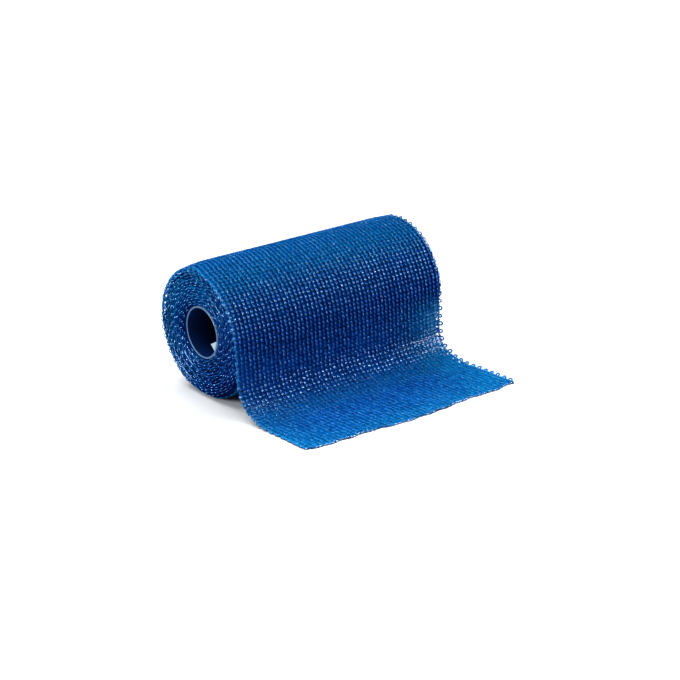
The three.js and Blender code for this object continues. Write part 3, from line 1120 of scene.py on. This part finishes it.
def build_object():
    """Every piece, with the frame's parts that they replace hidden."""
    yarn = yarn_material()
    plastic = plastic_material("core_plastic", CORE_COLOURS)
    body = turns_body(body_material())
    wraps = last_turn(yarn)
    last = int(LOOSE_LENGTH / COURSE_PITCH) + 2
    chains = knit_piece("loose_chains", (chain_loops,), 0, last, yarn, SEEDS["loose_chains"])
    inlays = knit_piece("loose_inlays", (inlay_yarns, picots), 0, last, yarn, SEEDS["loose_inlays"])
    near = end_turns("near_end_turns", yarn, near_face, -1, SEEDS["near_end"])
    far = end_turns("far_end_turns", yarn, far_face, 1, SEEDS["far_end"])
    for piece in (body, *wraps, near, far):
        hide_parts("wound_roll")
    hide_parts("loose_end")
    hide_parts("loose_end")
    tube = core_piece(plastic, bore_shade_material())
    tongue = tongue_piece(plastic_material("tongue_plastic_painted_light", TONGUE_LIT_COLOURS))
    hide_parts("core")
    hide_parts("core")


# The camera stands where the photograph was taken from
CAMERA_AZIMUTH = math.radians(-39.25)
CAMERA_ELEVATION = math.radians(21.62)
CAMERA_DISTANCE = 0.6815
CAMERA_LOOKS_AT = Vector((0.0019, -0.0203, 0.0166))
CAMERA_LENS = 92.9
CAMERA_SENSOR = 36
CAMERA_CLIP_START = 0.01


def stand(name, data, place, ahead):
    """Puts a camera or a light at a place, facing ahead."""
    placed = put_in_scene(name, data)
    placed.location = place
    placed.rotation_euler = ahead.to_track_quat("-Z", "Y").to_euler()
    return placed


def build_camera():
    """The camera at the photograph's viewing angle."""
    data = bpy.data.cameras.new("camera")
    data.lens = CAMERA_LENS
    data.sensor_width = CAMERA_SENSOR
    data.clip_start = CAMERA_CLIP_START
    level = math.cos(CAMERA_ELEVATION)
    back = Vector((
        math.sin(CAMERA_AZIMUTH) * level,
        -math.cos(CAMERA_AZIMUTH) * level,
        math.sin(CAMERA_ELEVATION),
    ))
    place = CAMERA_LOOKS_AT + back * CAMERA_DISTANCE
    bpy.context.scene.camera = stand("camera", data, place, -back)


# Soft light from overhead, a little from behind and the right
TOP_STRENGTH = 9.0
TOP_SPREAD = math.radians(75)
TOP_FROM = (0.12, 0.25, 1.0)
# Two square lights that the yarns' gloss shows
FRONT_LIGHT = {"place": (0.4704, -0.5048, 0.4072), "aim": (0, 0, 0.02), "size": 0.28, "power": 3.6}
LEFT_LIGHT = {"place": (-0.51, 0.12, 0.23), "aim": (-0.05, 0, 0.02), "size": 0.2, "power": 3.0}
WORLD_STRENGTH = 0.07
FLOOR_COLOUR = (0.465, 0.48, 0.495)
FLOOR_REACH = 4.0
# Where the pale band along the horizon fades, as sines of the angle above the floor
PALE_BAND_TOP = (0.24, 0.14)
PALE_BAND_FOOT = (-0.06, -0.04)


def area_light(name, light):
    """A square light that faces its aim."""
    data = bpy.data.lights.new(name, "AREA")
    data.size = light["size"]
    data.energy = light["power"]
    place = Vector(light["place"])
    stand(name, data, place, Vector(light["aim"]) - place)


def top_light():
    """The overhead light, which the yarns' gloss doesn't show."""
    data = bpy.data.lights.new("top_light", "SUN")
    data.energy = TOP_STRENGTH
    data.angle = TOP_SPREAD
    stand("top_light", data, (0, 0, 0), -Vector(TOP_FROM)).visible_glossy = False


def build_world():
    """A dim sky over a pale band along the horizon."""
    world = bpy.data.worlds.new("world")
    world.use_nodes = True
    tree = world.node_tree
    upwards = place_parts(tree, "Generated")["Z"]
    below_top = scaled(tree, upwards, *PALE_BAND_TOP)
    above_foot = scaled(tree, upwards, *PALE_BAND_FOOT)
    band = maths(tree, "MULTIPLY", below_top, above_foot)
    strength = maths(tree, "MULTIPLY_ADD", band, 1 - WORLD_STRENGTH, WORLD_STRENGTH)
    background = tree.nodes["Background"]
    background.inputs["Color"].default_value = (1, 1, 1, 1)
    tree.links.new(strength, background.inputs["Strength"])
    world.cycles_visibility.glossy = False
    bpy.context.scene.world = world


def build_floor():
    """A plain pale floor, which the yarns' gloss doesn't show."""
    mesh = bpy.data.meshes.new("floor")
    corners = [(x * FLOOR_REACH, y * FLOOR_REACH, 0) for x, y in ((-1, -1), (1, -1), (1, 1), (-1, 1))]
    mesh.from_pydata(corners, [], [(0, 1, 2, 3)])
    floor = put_in_scene("floor", mesh)
    material, tree, out = new_material("pale_floor")
    pale = node(tree, "ShaderNodeBsdfPrincipled", Roughness=0.9, Base_Color=(*FLOOR_COLOUR, 1))
    tree.links.new(pale.outputs[0], out.inputs["Surface"])
    mesh.materials.append(material)
    floor.visible_glossy = False


bpy.context.scene.view_settings.view_transform = "Standard"
build_camera()
build_object()
build_floor()
build_world()
top_light()
area_light("front_light", FRONT_LIGHT)
area_light("left_light", LEFT_LIGHT)
